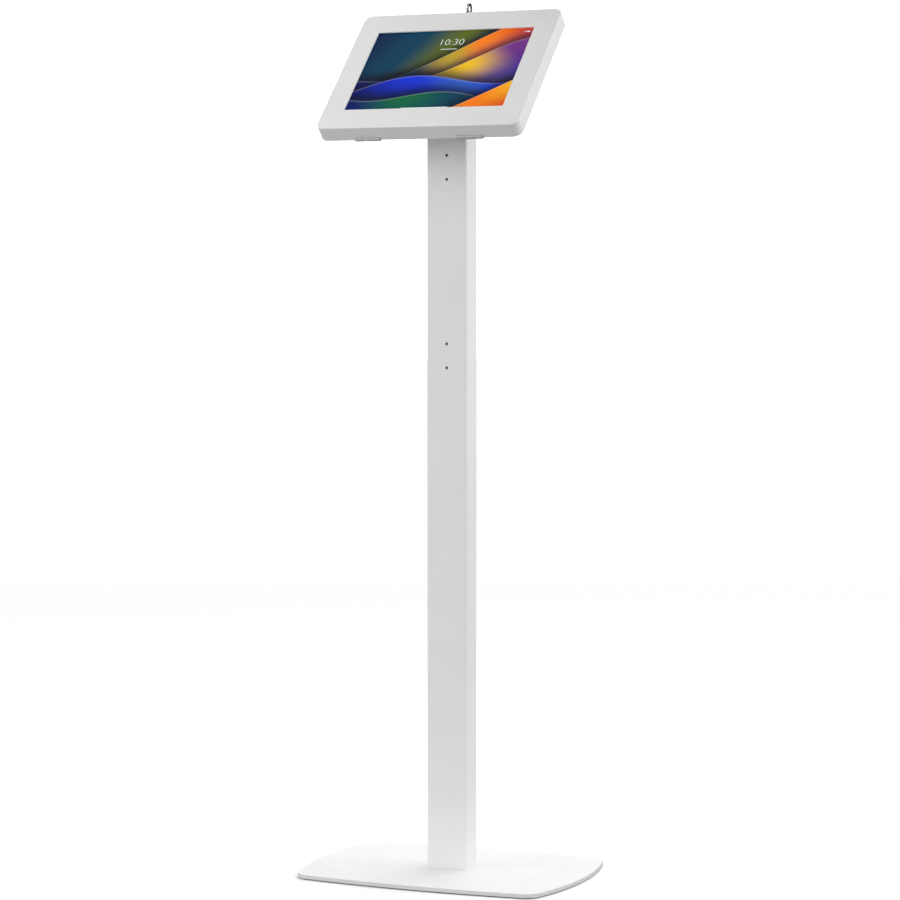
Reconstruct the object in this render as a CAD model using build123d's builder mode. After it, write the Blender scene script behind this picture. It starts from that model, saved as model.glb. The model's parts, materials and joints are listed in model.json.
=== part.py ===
"""Touchscreen kiosk: a floor plate, a square post and a tilted tablet enclosure.

Frame: +Z up, the screen faces -Y, and the origin is on the floor under the
middle of the base plate, on the post's own axis.  All sizes in millimetres.
"""
import os
from math import cos, radians, sin, tan

from build123d import *

# ---------------------------------------------------------------- base sizes
base_half_width = 193.5        # post axis to the bulge of a side edge
base_half_depth = 143.8        # post axis to the bulge of the front edge
base_front_arc = 1370.0        # radius of the front and rear edges
base_side_arc = 436.0          # radius of the side edges
base_corner = 24.0
base_thickness = 5.5
base_edge_round = 0.8
foot_height = 1.5
foot_radius = 14.0
foot_edge = 0.4
foot_spacing_x = 280.0
foot_spacing_y = 200.0

# ---------------------------------------------------------------- post sizes
post_width = 59.0
post_depth = 36.0
post_wall = 2.0
post_corner = 2.4
foot_plate_thickness = 10.0
weld_gap = 0.1                 # slack of a welded insert in its tube
base_screw_radius = 4.0
base_screw_head_radius = 8.0
base_screw_head_height = 3.6
base_screw_spacing = 30.0
base_screw_reach = 8.0         # thread length held by the foot plate
accessory_radius = 2.0         # M4 clearance in the post's front wall
accessory_pitch = 32.5         # between the two holes of a pair
accessory_heights = (709.0, 964.0)
accessory_nut_flats = 7.0
accessory_nut_height = 3.2
cable_exit_height = 62.0
cable_exit_radius = 9.0

# ----------------------------------------------------------- enclosure sizes
tilt = 45.0                    # screen plane above the horizontal
head_height = 1107.0           # where the enclosure's back meets the post axis
head_drop = 38.3               # enclosure centre below that point, down the slope
cover_width = 292.6
cover_height = 232.2
cover_depth = 22.0
cover_wall = 1.5
cover_corner = 12.0
cover_edge = 1.4
window_width = 230.0
window_height = 158.4
window_corner = 1.5
back_thickness = 2.0
back_side_gap = 0.5            # back plate to the cover's side walls
back_lower_gap = 1.7           # back plate to the cover's bottom wall
head_plate_thickness = 4.0
head_plate_width = 124.0
head_plate_height = 106.0
head_plate_corner = 8.0
head_bolt_radius = 3.0         # M6
head_bolt_spacing_x = 98.0
head_bolt_spacing_y = 80.0
head_bolt_head_radius = 5.2
head_bolt_head_height = 3.3
head_nut_flats = 10.0
head_nut_height = 5.0
head_bolt_end = 1.5            # thread left past its nut
socket_share = 0.6             # a socket's share of its screw head
socket_ratio = 0.7             # a socket's corner radius against its screw's radius
thread_gap = 0.05              # radial slack of a screw in its hole
cable_pass_radius = 14.0       # grommet's hole in back plate and head plate
grommet_wall = 1.6
grommet_lip = 2.2
lip_height = 1.2
vent_length = 34.0
vent_width = 3.0
vent_pitch = 8.0
vent_rows = 5
vent_offset_x = 92.0
vent_offset_y = -38.0

# --------------------------------------------------------------- hinge sizes
hinge_length = 36.5
hinge_offset_x = 74.0          # enclosure centre to the middle of a hinge
hinge_leaf = 1.2
knuckle_radius = 2.8
pin_radius = 1.5
pin_gap = 0.06                 # running clearance in the cover's knuckle
middle_knuckle = 14.0
knuckle_gap = 0.3
cover_leaf_reach = 15.0
frame_leaf_reach = 20.0
notch_gap = 0.4
leaf_screw_radius = 1.5
leaf_screw_head_radius = 2.8
leaf_screw_head_height = 1.2
leaf_screw_spacing = 22.0

# ------------------------------------------------------- lock and key sizes
lock_depth = 10.5              # lock axis behind the enclosure's front face
lock_radius = 5.0
lock_length = 15.0             # inside the enclosure, from the top wall's outside
lock_flange_radius = 6.6
lock_flange_height = 2.0
lock_flange_edge = 0.7
lock_nut_flats = 13.0
lock_nut_height = 3.0
plug_radius = 3.6
plug_gap = 0.06
cam_thickness = 1.6
cam_half_width = 2.8
cam_reach = 8.4
cam_gap = 0.3
cam_screw_radius = 1.5
cam_screw_head_radius = 2.6
cam_screw_head_height = 1.4
cam_screw_reach = 5.0
stub_side = 4.4                # square end of the plug that carries the cam
strike_thickness = 1.6
strike_offset_x = 6.4          # lock axis to the strike's near face
strike_height = 14.0
strike_slot_gap = 0.9
strike_bar = 2.4
strike_foot = 15.0
strike_screw_radius = 1.5
strike_screw_head_radius = 2.6
strike_screw_head_height = 1.5
strike_screw_end = 0.6         # thread left past its nut
strike_screw_spacing = 8.0
strike_nut_flats = 5.5
strike_nut_height = 2.4
key_bow_radius = 8.6
key_bow_height = 19.2          # bow centre above the enclosure's top side
key_thickness = 2.0
key_blade_width = 4.4
key_blade_length = 12.0
key_hole_radius = 4.3
key_gap = 0.12
key_shoulder = 6.4
key_shoulder_gap = 0.3
key_edge = 0.4
key_cut_depths = (0.9, 0.5, 1.1, 0.7)
key_cut_pitch = 2.4

# -------------------------------------------------------------- tablet sizes
tablet_width = 248.0
tablet_height = 178.5
tablet_thickness = 6.1
tablet_corner = 17.0
tablet_edge = 1.0
tablet_rim = 1.0
tablet_frame = 4.0             # solid band round the tablet's hollow
tablet_floor = 0.9
glass_thickness = 0.8
display_thickness = 1.4
gasket_thickness = 1.0
gasket_margin = 6.0
gasket_inset = 1.0
tablet_gap = 0.3               # gasket to glass
battery_width = 88.0
battery_height = 120.0
battery_thickness = 2.2
battery_corner = 4.0
board_width = 24.0
board_height = 150.0
board_thickness = 1.8
cell_gap = 4.0                 # between the two cells, and cell to board
fit_gap = 0.2                  # loose internal fits in the tablet
camera_radius = 7.0
camera_stand = 0.5
camera_a = -84.0
camera_b = 70.0
port_length = 9.0
port_width = 3.2
port_depth = 3.5
button_length = 12.0
button_width = 2.4
button_depth = 1.3
button_stand = 0.35
button_gap = 0.15
button_back_room = 0.5
power_button_b = 52.0
volume_button_a = 74.0
volume_button_pitch = 16.0

# -------------------------------------------------------------- holder sizes
holder_reach = 26.0            # over the tablet's corner
holder_wall = 4.0
holder_front = 4.6             # holder's front edge behind the enclosure face
holder_gap = 0.4
pad_thickness = 1.0
pad_size = 16.0
pad_inset = 14.0               # pad centre from the tablet's edges
holder_screw_radius = 2.0
holder_screw_head_radius = 3.6
holder_screw_head_height = 2.2
holder_screw_reach = 6.0

# ------------------------------------------------------------ worked-out sizes
base_bottom = foot_height
base_top = foot_height + base_thickness
slope = Vector(0, cos(radians(tilt)), sin(radians(tilt)))
outward = Vector(0, -sin(radians(tilt)), cos(radians(tilt)))
head_point = Vector(0, 0, head_height)
face_centre = head_point - slope * head_drop + outward * cover_depth
face = Plane(origin=face_centre, x_dir=(1, 0, 0), z_dir=outward)
outward_axis = Axis((0, 0, 0), outward)
slope_axis = Axis((0, 0, 0), slope)

back_front = cover_depth - back_thickness
head_plate_back = cover_depth + head_plate_thickness
inner_width = cover_width - 2 * cover_wall
inner_height = cover_height - 2 * cover_wall
inner_corner = cover_corner - cover_wall
glass_front = cover_wall + gasket_thickness + tablet_gap
tablet_back = glass_front + tablet_thickness
holder_seat = tablet_back + pad_thickness

# middle of the post's slanted top, in the enclosure's own up direction
post_cut_b = head_drop - head_plate_thickness * tan(radians(tilt))

top_b = cover_height / 2
hinge_b = -top_b + cover_wall + hinge_leaf - knuckle_radius
hinge_c = cover_depth + hinge_leaf - knuckle_radius
notch_c = hinge_c - knuckle_radius - notch_gap
outer_knuckle = (hinge_length - middle_knuckle) / 2 - knuckle_gap
back_low_b = -top_b + cover_wall + back_lower_gap
back_high_b = top_b - cover_wall - back_side_gap
hinge_middles = {"left": -hinge_offset_x, "right": hinge_offset_x}

lock_face_b = top_b + lock_flange_height
plug_end_b = top_b - lock_length - cam_gap
cam_b = plug_end_b - cam_thickness
cam_middle_b = cam_b + cam_thickness / 2
key_shoulder_b = lock_face_b + key_shoulder_gap

glass_width = tablet_width - 2 * tablet_rim
glass_height = tablet_height - 2 * tablet_rim
glass_corner = tablet_corner - tablet_rim
glass_back = glass_front + glass_thickness
hollow_width = tablet_width - 2 * tablet_frame
hollow_height = tablet_height - 2 * tablet_frame
hollow_corner = tablet_corner - tablet_frame
hollow_back = tablet_back - tablet_floor
tablet_middle = (glass_front + tablet_back) / 2
board_a = cell_gap / 2 + battery_width + cell_gap + board_width / 2


def behind(depth):
    """Plane parallel to the screen, that far behind the enclosure's face."""
    return face.offset(-depth)


def place(a, b, depth):
    """Point at a across and b up the enclosure, that far behind its face."""
    return face.from_local_coords((a, b, -depth))


def forward(a, b, depth):
    """Seat at a point of the enclosure whose normal leaves through the screen."""
    return Plane(origin=place(a, b, depth), x_dir=(1, 0, 0), z_dir=outward)


def rearward(a, b, depth):
    """Seat at a point of the enclosure whose normal leaves through its back."""
    return Plane(origin=place(a, b, depth), x_dir=(1, 0, 0), z_dir=-outward)


def across(a):
    """Plane square to X; its own axes are up the slope and outward."""
    return Plane(origin=place(a, 0, 0), x_dir=slope, z_dir=(1, 0, 0))


def upward(b, depth):
    """Plane square to the slope, with its own Y pointing back into the enclosure."""
    return Plane(origin=place(0, b, depth), x_dir=(1, 0, 0), z_dir=slope)


def finish(piece, name):
    """Label a finished piece and write it to its own file."""
    piece.part.label = name
    export_step(piece.part, f"parts/{name}.step")


def screws(seats, shank, length, head, head_height):
    """Screws whose heads stand behind each seat and shanks run along its normal."""
    with BuildPart() as group:
        for seat in seats:
            with BuildSketch(seat):
                Circle(shank)
            extrude(amount=length)
            with BuildSketch(seat.offset(-head_height)):
                Circle(head)
            extrude(amount=head_height)
            with BuildSketch(seat.offset(-head_height)):
                RegularPolygon(shank * socket_ratio, 6)
            extrude(amount=head_height * socket_share, mode=Mode.SUBTRACT)
    return group


def nuts(seats, flats, height, bore):
    """Hexagon nuts standing on each seat."""
    with BuildPart() as group:
        for seat in seats:
            with BuildSketch(seat):
                RegularPolygon(flats / 2, 6, major_radius=False)
                Circle(bore, mode=Mode.SUBTRACT)
            extrude(amount=height)
    return group


def rivets(seats, shank, length, head, head_height):
    """Rivets with a flat head at each end of the shank."""
    with BuildPart() as group:
        for seat in seats:
            with BuildSketch(seat):
                Circle(shank)
            extrude(amount=length)
            for end in (seat.offset(-head_height), seat.offset(length)):
                with BuildSketch(end):
                    Circle(head)
                extrude(amount=head_height)
    return group


def grommet(mouth, hole_radius, panel):
    """Rubber grommet: a sleeve through a panel behind its mouth, lipped at both faces."""
    with BuildPart() as ring:
        with BuildSketch(mouth.offset(-panel)):
            Circle(hole_radius)
            Circle(hole_radius - grommet_wall, mode=Mode.SUBTRACT)
        extrude(amount=panel)
        for lip_plane in (mouth, mouth.offset(-panel - lip_height)):
            with BuildSketch(lip_plane):
                Circle(hole_radius + grommet_lip)
                Circle(hole_radius - grommet_wall, mode=Mode.SUBTRACT)
            extrude(amount=lip_height)
    return ring


os.makedirs("parts", exist_ok=True)

# ======================================================================= base
base_screw_xs = (-base_screw_spacing / 2, base_screw_spacing / 2)
foot_places = [
    (side * foot_spacing_x / 2, end * foot_spacing_y / 2) for side in (-1, 1) for end in (-1, 1)
]

with BuildPart() as base_plate:
    with BuildSketch(Plane.XY.offset(base_bottom)) as base_outline:
        with Locations((0, base_front_arc - base_half_depth)):
            Circle(base_front_arc)
        with Locations((0, base_half_depth - base_front_arc)):
            Circle(base_front_arc, mode=Mode.INTERSECT)
        with Locations((base_half_width - base_side_arc, 0)):
            Circle(base_side_arc, mode=Mode.INTERSECT)
        with Locations((base_side_arc - base_half_width, 0)):
            Circle(base_side_arc, mode=Mode.INTERSECT)
        fillet(base_outline.vertices(), base_corner)
    extrude(amount=base_thickness)
    fillet(base_plate.faces().sort_by(Axis.Z)[-1].edges(), base_edge_round)
    for depth, radius in (
        (base_thickness, base_screw_radius),
        (base_screw_head_height, base_screw_head_radius),
    ):
        with BuildSketch(Plane.XY.offset(base_bottom)):
            with Locations(*[(x, 0) for x in base_screw_xs]):
                Circle(radius + thread_gap)
        extrude(amount=depth, mode=Mode.SUBTRACT)
finish(base_plate, "base_plate")

with BuildPart() as base_feet:
    with BuildSketch(Plane.XY):
        with Locations(*foot_places):
            Circle(foot_radius)
    extrude(amount=foot_height)
    fillet(base_feet.edges().group_by(Axis.Z)[0], foot_edge)
finish(base_feet, "base_feet")

base_screws = screws(
    [Plane((x, 0, base_bottom + base_screw_head_height)) for x in base_screw_xs],
    base_screw_radius,
    base_thickness - base_screw_head_height + base_screw_reach,
    base_screw_head_radius,
    base_screw_head_height,
)
finish(base_screws, "base_screws")

# ======================================================================= post
post_inner_width = post_width - 2 * post_wall
post_inner_depth = post_depth - 2 * post_wall
post_inner_corner = post_corner - post_wall
strip_width = post_width - 2 * post_corner
post_reach = head_height + post_depth   # longer than the post, before its slanted cut
front_wall = -post_depth / 2
rear_wall = post_depth / 2
accessory_zs = [
    middle + side * accessory_pitch / 2 for middle in accessory_heights for side in (-1, 1)
]

with BuildPart() as post_foot_plate:
    with BuildSketch(Plane.XY.offset(base_top)):
        RectangleRounded(
            post_inner_width - 2 * weld_gap, post_inner_depth - 2 * weld_gap, post_inner_corner
        )
        with Locations(*[(x, 0) for x in base_screw_xs]):
            Circle(base_screw_radius + thread_gap, mode=Mode.SUBTRACT)
    extrude(amount=foot_plate_thickness)
finish(post_foot_plate, "post_foot_plate")

with BuildPart() as post_channel:
    with BuildSketch(Plane.XY.offset(base_top)):
        RectangleRounded(post_width, post_depth, post_corner)
        RectangleRounded(
            post_inner_width, post_inner_depth, post_inner_corner, mode=Mode.SUBTRACT
        )
        with Locations((0, rear_wall - post_wall / 2)):
            Rectangle(strip_width, post_wall, mode=Mode.SUBTRACT)
    extrude(amount=post_reach)
    split(bisect_by=behind(head_plate_back), keep=Keep.BOTTOM)
    with BuildSketch(Plane(origin=(0, front_wall, 0), x_dir=(1, 0, 0), z_dir=(0, -1, 0))):
        with Locations(*[(0, z) for z in accessory_zs]):
            Circle(accessory_radius)
    extrude(amount=-post_wall, mode=Mode.SUBTRACT)
finish(post_channel, "post_channel")

with BuildPart() as post_rear_strip:
    with BuildSketch(Plane.XY.offset(base_top)):
        with Locations((0, rear_wall - post_wall / 2)):
            Rectangle(strip_width, post_wall)
    extrude(amount=post_reach)
    split(bisect_by=behind(head_plate_back), keep=Keep.BOTTOM)
    with BuildSketch(Plane(origin=(0, rear_wall, 0), x_dir=(-1, 0, 0), z_dir=(0, 1, 0))):
        with Locations((0, cable_exit_height)):
            Circle(cable_exit_radius + thread_gap)
    extrude(amount=-post_wall, mode=Mode.SUBTRACT)
finish(post_rear_strip, "post_rear_strip")

accessory_nuts = nuts(
    [
        Plane(origin=(0, front_wall + post_wall, z), x_dir=(1, 0, 0), z_dir=(0, 1, 0))
        for z in accessory_zs
    ],
    accessory_nut_flats,
    accessory_nut_height,
    accessory_radius,
)
finish(accessory_nuts, "accessory_nuts")

cable_exit_mouth = Plane(
    origin=(0, rear_wall, cable_exit_height), x_dir=(-1, 0, 0), z_dir=(0, 1, 0)
)
cable_exit_grommet = grommet(cable_exit_mouth, cable_exit_radius, post_wall)
finish(cable_exit_grommet, "cable_exit_grommet")

# ========================================================= head and back plate
head_bolt_places = [
    (side * head_bolt_spacing_x / 2, post_cut_b + end * head_bolt_spacing_y / 2)
    for side in (-1, 1)
    for end in (-1, 1)
]
holder_outer_a = tablet_width / 2 + holder_gap + holder_wall
holder_outer_b = tablet_height / 2 + holder_gap + holder_wall
holder_side = holder_reach + holder_gap + holder_wall
holder_places = {
    f"tablet_holder_{level}_{side}": (
        sign_a * (holder_outer_a - holder_side / 2),
        sign_b * (holder_outer_b - holder_side / 2),
    )
    for level, sign_b in (("lower", -1), ("upper", 1))
    for side, sign_a in (("left", -1), ("right", 1))
}
strike_screw_a = strike_offset_x + (strike_thickness + strike_foot) / 2
strike_screw_places = [
    (strike_screw_a, cam_middle_b + end * strike_screw_spacing / 2) for end in (-1, 1)
]
leaf_rivet_b = hinge_b + frame_leaf_reach - 2 * leaf_screw_radius
leaf_rivet_places = [
    (middle + side * leaf_screw_spacing / 2, leaf_rivet_b)
    for middle in hinge_middles.values()
    for side in (-1, 1)
]
vent_places = [
    (side * vent_offset_x, vent_offset_y + (row - (vent_rows - 1) / 2) * vent_pitch)
    for side in (-1, 1)
    for row in range(vent_rows)
]

with BuildPart() as head_plate:
    with BuildSketch(behind(head_plate_back)):
        with Locations((0, post_cut_b)):
            RectangleRounded(head_plate_width, head_plate_height, head_plate_corner)
        with Locations(*head_bolt_places):
            Circle(head_bolt_radius + thread_gap, mode=Mode.SUBTRACT)
        with Locations((0, head_drop)):
            Circle(cable_pass_radius + grommet_lip + fit_gap, mode=Mode.SUBTRACT)
    extrude(amount=head_plate_thickness)
finish(head_plate, "head_plate")

with BuildPart() as back_plate:
    with BuildSketch(behind(cover_depth)):
        with Locations((0, (back_low_b + back_high_b) / 2)):
            RectangleRounded(
                inner_width - 2 * back_side_gap,
                back_high_b - back_low_b,
                inner_corner - back_side_gap,
            )
        for places, radius in (
            (head_bolt_places, head_bolt_radius),
            ([(0, head_drop)], cable_pass_radius),
            (holder_places.values(), holder_screw_radius),
            (leaf_rivet_places, leaf_screw_radius),
            (strike_screw_places, strike_screw_radius),
        ):
            with Locations(*places):
                Circle(radius + thread_gap, mode=Mode.SUBTRACT)
        with Locations(*vent_places):
            SlotOverall(vent_length, vent_width, mode=Mode.SUBTRACT)
    extrude(amount=back_thickness)
finish(back_plate, "back_plate")

head_bolts = screws(
    [rearward(a, b, back_front) for a, b in head_bolt_places],
    head_bolt_radius,
    back_thickness + head_plate_thickness + head_nut_height + head_bolt_end,
    head_bolt_head_radius,
    head_bolt_head_height,
)
finish(head_bolts, "head_bolts")

head_nuts = nuts(
    [rearward(a, b, head_plate_back) for a, b in head_bolt_places],
    head_nut_flats,
    head_nut_height,
    head_bolt_radius + thread_gap,
)
finish(head_nuts, "head_nuts")

cable_pass_grommet = grommet(forward(0, head_drop, back_front), cable_pass_radius, back_thickness)
finish(cable_pass_grommet, "cable_pass_grommet")

# ============================================================= tablet holders
for name, (a, b) in holder_places.items():
    with BuildPart() as tablet_holder:
        with BuildSketch(behind(back_front)):
            RectangleRounded(
                2 * holder_outer_a, 2 * holder_outer_b, tablet_corner + holder_gap + holder_wall
            )
            with Locations((a, b)):
                Rectangle(holder_side, holder_side, mode=Mode.INTERSECT)
        extrude(amount=back_front - holder_front)
        with BuildSketch(behind(holder_seat)):
            RectangleRounded(
                tablet_width + 2 * holder_gap,
                tablet_height + 2 * holder_gap,
                tablet_corner + holder_gap,
            )
        extrude(amount=holder_seat - holder_front, mode=Mode.SUBTRACT)
        with BuildSketch(behind(back_front)):
            with Locations((a, b)):
                Circle(holder_screw_radius + thread_gap)
        extrude(amount=holder_screw_reach + thread_gap, mode=Mode.SUBTRACT)
    finish(tablet_holder, name)

holder_screws = screws(
    [forward(a, b, cover_depth) for a, b in holder_places.values()],
    holder_screw_radius,
    back_thickness + holder_screw_reach,
    holder_screw_head_radius,
    holder_screw_head_height,
)
finish(holder_screws, "holder_screws")

with BuildPart() as tablet_pads:
    with BuildSketch(behind(holder_seat)):
        with GridLocations(tablet_width - 2 * pad_inset, tablet_height - 2 * pad_inset, 2, 2):
            Rectangle(pad_size, pad_size)
    extrude(amount=pad_thickness)
finish(tablet_pads, "tablet_pads")

# ===================================================================== tablet
with BuildPart() as tablet_body:
    with BuildSketch(behind(tablet_back)):
        RectangleRounded(tablet_width, tablet_height, tablet_corner)
    extrude(amount=tablet_thickness)
    fillet(tablet_body.faces().sort_by(outward_axis)[0].edges(), tablet_edge)
    with BuildSketch(behind(glass_back)):
        RectangleRounded(
            glass_width + 2 * fit_gap, glass_height + 2 * fit_gap, glass_corner + fit_gap
        )
    extrude(amount=glass_thickness, mode=Mode.SUBTRACT)
    with BuildSketch(behind(hollow_back)):
        RectangleRounded(hollow_width, hollow_height, hollow_corner)
    extrude(amount=hollow_back - glass_back, mode=Mode.SUBTRACT)
    pocket_depth = button_depth - button_stand + button_back_room
    with BuildSketch(across(tablet_width / 2)):
        with Locations((power_button_b, -tablet_middle)):
            SlotOverall(button_length + 2 * button_gap, button_width + 2 * button_gap)
    extrude(amount=-pocket_depth, mode=Mode.SUBTRACT)
    with BuildSketch(upward(tablet_height / 2, tablet_middle)):
        with GridLocations(volume_button_pitch, 0, 2, 1):
            with Locations((volume_button_a, 0)):
                SlotOverall(button_length + 2 * button_gap, button_width + 2 * button_gap)
    extrude(amount=-pocket_depth, mode=Mode.SUBTRACT)
    with BuildSketch(across(-tablet_width / 2)):
        with Locations((0, -tablet_middle)):
            SlotOverall(port_length, port_width)
    extrude(amount=port_depth, mode=Mode.SUBTRACT)
finish(tablet_body, "tablet_body")

with BuildPart() as tablet_glass:
    with BuildSketch(behind(glass_back)):
        RectangleRounded(glass_width, glass_height, glass_corner)
    extrude(amount=glass_thickness)
finish(tablet_glass, "tablet_glass")

with BuildPart() as display_panel:
    with BuildSketch(behind(glass_back + display_thickness)):
        RectangleRounded(
            hollow_width - 2 * fit_gap, hollow_height - 2 * fit_gap, hollow_corner - fit_gap
        )
    extrude(amount=display_thickness)
finish(display_panel, "display_panel")

with BuildPart() as tablet_batteries:
    with BuildSketch(behind(hollow_back)):
        with GridLocations(battery_width + cell_gap, 0, 2, 1):
            RectangleRounded(battery_width, battery_height, battery_corner)
    extrude(amount=battery_thickness)
finish(tablet_batteries, "tablet_batteries")

with BuildPart() as tablet_board:
    with BuildSketch(behind(hollow_back)):
        with Locations((board_a, 0)):
            Rectangle(board_width, board_height)
    extrude(amount=board_thickness)
finish(tablet_board, "tablet_board")

with BuildPart() as rear_camera:
    with BuildSketch(behind(tablet_back + camera_stand)):
        with Locations((camera_a, camera_b)):
            Circle(camera_radius)
    extrude(amount=camera_stand)
finish(rear_camera, "rear_camera")

with BuildPart() as power_button:
    with BuildSketch(across(tablet_width / 2 + button_stand)):
        with Locations((power_button_b, -tablet_middle)):
            SlotOverall(button_length, button_width)
    extrude(amount=-button_depth)
finish(power_button, "power_button")

for name, side in (("volume_down_button", -1), ("volume_up_button", 1)):
    with BuildPart() as volume_button:
        with BuildSketch(upward(tablet_height / 2 + button_stand, tablet_middle)):
            with Locations((volume_button_a + side * volume_button_pitch / 2, 0)):
                SlotOverall(button_length, button_width)
        extrude(amount=-button_depth)
    finish(volume_button, name)

# ================================================================ front cover
with BuildPart() as front_cover:
    with BuildSketch(behind(cover_depth)):
        RectangleRounded(cover_width, cover_height, cover_corner)
    extrude(amount=cover_depth)
    fillet(front_cover.faces().sort_by(outward_axis)[-1].edges(), cover_edge)
    with BuildSketch(behind(cover_depth)):
        RectangleRounded(inner_width, inner_height, inner_corner)
    extrude(amount=cover_depth - cover_wall, mode=Mode.SUBTRACT)
    with BuildSketch(behind(cover_wall)):
        RectangleRounded(window_width, window_height, window_corner)
    extrude(amount=cover_wall, mode=Mode.SUBTRACT)
    with BuildSketch(upward(top_b, lock_depth)):
        Circle(lock_radius + thread_gap)
    extrude(amount=-cover_wall, mode=Mode.SUBTRACT)
    with BuildSketch(behind(cover_depth)):
        with Locations(*[(a, -top_b + cover_wall / 2) for a in hinge_middles.values()]):
            Rectangle(hinge_length + 2 * notch_gap, cover_wall)
    extrude(amount=cover_depth - notch_c, mode=Mode.SUBTRACT)
finish(front_cover, "front_cover")

with BuildPart() as window_gasket:
    with BuildSketch(behind(cover_wall + gasket_thickness)):
        RectangleRounded(
            window_width + 2 * gasket_margin, window_height + 2 * gasket_margin, gasket_margin
        )
        RectangleRounded(
            window_width + 2 * gasket_inset,
            window_height + 2 * gasket_inset,
            window_corner,
            mode=Mode.SUBTRACT,
        )
    extrude(amount=gasket_thickness)
finish(window_gasket, "window_gasket")

# ===================================================================== hinges
cover_leaf_front = hinge_c - cover_leaf_reach
cover_leaf_b = -top_b + cover_wall + hinge_leaf / 2
frame_leaf_low = hinge_b + knuckle_radius + notch_gap
frame_leaf_high = hinge_b + frame_leaf_reach

for side, middle in hinge_middles.items():
    with BuildPart() as cover_hinge_leaf:
        with BuildSketch(across(middle - hinge_length / 2)):
            with Locations((cover_leaf_b, -(cover_leaf_front + notch_c) / 2)):
                Rectangle(hinge_leaf, notch_c - cover_leaf_front)
        extrude(amount=hinge_length)
        with BuildSketch(across(middle - middle_knuckle / 2)):
            with Locations((cover_leaf_b, -(notch_c + hinge_c) / 2)):
                Rectangle(hinge_leaf, hinge_c - notch_c)
            with Locations((hinge_b, -hinge_c)):
                Circle(knuckle_radius)
                Circle(pin_radius + pin_gap, mode=Mode.SUBTRACT)
        extrude(amount=middle_knuckle)
    finish(cover_hinge_leaf, f"cover_hinge_leaf_{side}")

    with BuildPart() as frame_hinge_leaf:
        with BuildSketch(across(middle - hinge_length / 2)):
            with Locations(((frame_leaf_low + frame_leaf_high) / 2, -cover_depth - hinge_leaf / 2)):
                Rectangle(frame_leaf_high - frame_leaf_low, hinge_leaf)
        extrude(amount=hinge_length)
        for start in (middle - hinge_length / 2, middle + hinge_length / 2 - outer_knuckle):
            with BuildSketch(across(start)):
                with Locations(((hinge_b + frame_leaf_low) / 2, -cover_depth - hinge_leaf / 2)):
                    Rectangle(frame_leaf_low - hinge_b, hinge_leaf)
                with Locations((hinge_b, -hinge_c)):
                    Circle(knuckle_radius)
                    Circle(pin_radius, mode=Mode.SUBTRACT)
            extrude(amount=outer_knuckle)
        with BuildSketch(behind(cover_depth + hinge_leaf)):
            with Locations(*leaf_rivet_places):
                Circle(leaf_screw_radius + thread_gap)
        extrude(amount=hinge_leaf, mode=Mode.SUBTRACT)
    finish(frame_hinge_leaf, f"frame_hinge_leaf_{side}")

    with BuildPart() as hinge_pin:
        with BuildSketch(across(middle - hinge_length / 2)):
            with Locations((hinge_b, -hinge_c)):
                Circle(pin_radius)
        extrude(amount=hinge_length)
    finish(hinge_pin, f"hinge_pin_{side}")

leaf_rivets = rivets(
    [forward(a, b, cover_depth + hinge_leaf) for a, b in leaf_rivet_places],
    leaf_screw_radius,
    hinge_leaf + back_thickness,
    leaf_screw_head_radius,
    leaf_screw_head_height,
)
finish(leaf_rivets, "leaf_rivets")

# ======================================================================= lock
with BuildPart() as lock_body:
    with BuildSketch(upward(top_b - lock_length, lock_depth)):
        Circle(lock_radius)
    extrude(amount=lock_length)
    with BuildSketch(upward(top_b, lock_depth)):
        Circle(lock_flange_radius)
    extrude(amount=lock_flange_height)
    flange_rim = lock_body.faces().sort_by(slope_axis)[-1].edges()
    fillet(flange_rim, lock_flange_edge)
    with BuildSketch(upward(top_b - lock_length, lock_depth)):
        Circle(plug_radius + plug_gap)
    extrude(amount=lock_length + lock_flange_height, mode=Mode.SUBTRACT)
finish(lock_body, "lock_body")

with BuildPart() as lock_nut:
    with BuildSketch(upward(top_b - cover_wall - lock_nut_height, lock_depth)):
        RegularPolygon(lock_nut_flats / 2, 6, major_radius=False)
        Circle(lock_radius + thread_gap, mode=Mode.SUBTRACT)
    extrude(amount=lock_nut_height)
finish(lock_nut, "lock_nut")

with BuildPart() as lock_plug:
    with BuildSketch(upward(plug_end_b, lock_depth)):
        Circle(plug_radius)
    extrude(amount=lock_face_b - plug_end_b)
    with BuildSketch(upward(cam_b, lock_depth)):
        Rectangle(stub_side, stub_side)
    extrude(amount=cam_thickness)
    with BuildSketch(upward(cam_b, lock_depth)):
        Circle(cam_screw_radius + thread_gap)
    extrude(amount=cam_screw_reach, mode=Mode.SUBTRACT)
    with BuildSketch(upward(lock_face_b, lock_depth)):
        Rectangle(key_thickness + 2 * key_gap, key_blade_width + 2 * key_gap)
    extrude(amount=-(key_blade_length + 2 * key_gap), mode=Mode.SUBTRACT)
finish(lock_plug, "lock_plug")

with BuildPart() as lock_cam:
    with BuildSketch(upward(cam_b, lock_depth)):
        Circle(plug_radius)
        with Locations((0, (cam_reach - cam_half_width) / 2)):
            Rectangle(2 * cam_half_width, cam_reach - cam_half_width)
        with Locations((0, cam_reach - cam_half_width)):
            Circle(cam_half_width)
        Rectangle(stub_side + thread_gap, stub_side + thread_gap, mode=Mode.SUBTRACT)
    extrude(amount=cam_thickness)
finish(lock_cam, "lock_cam")

cam_screw = screws(
    [upward(cam_b, lock_depth)],
    cam_screw_radius,
    cam_screw_reach - thread_gap,
    cam_screw_head_radius,
    cam_screw_head_height,
)
finish(cam_screw, "cam_screw")

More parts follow.
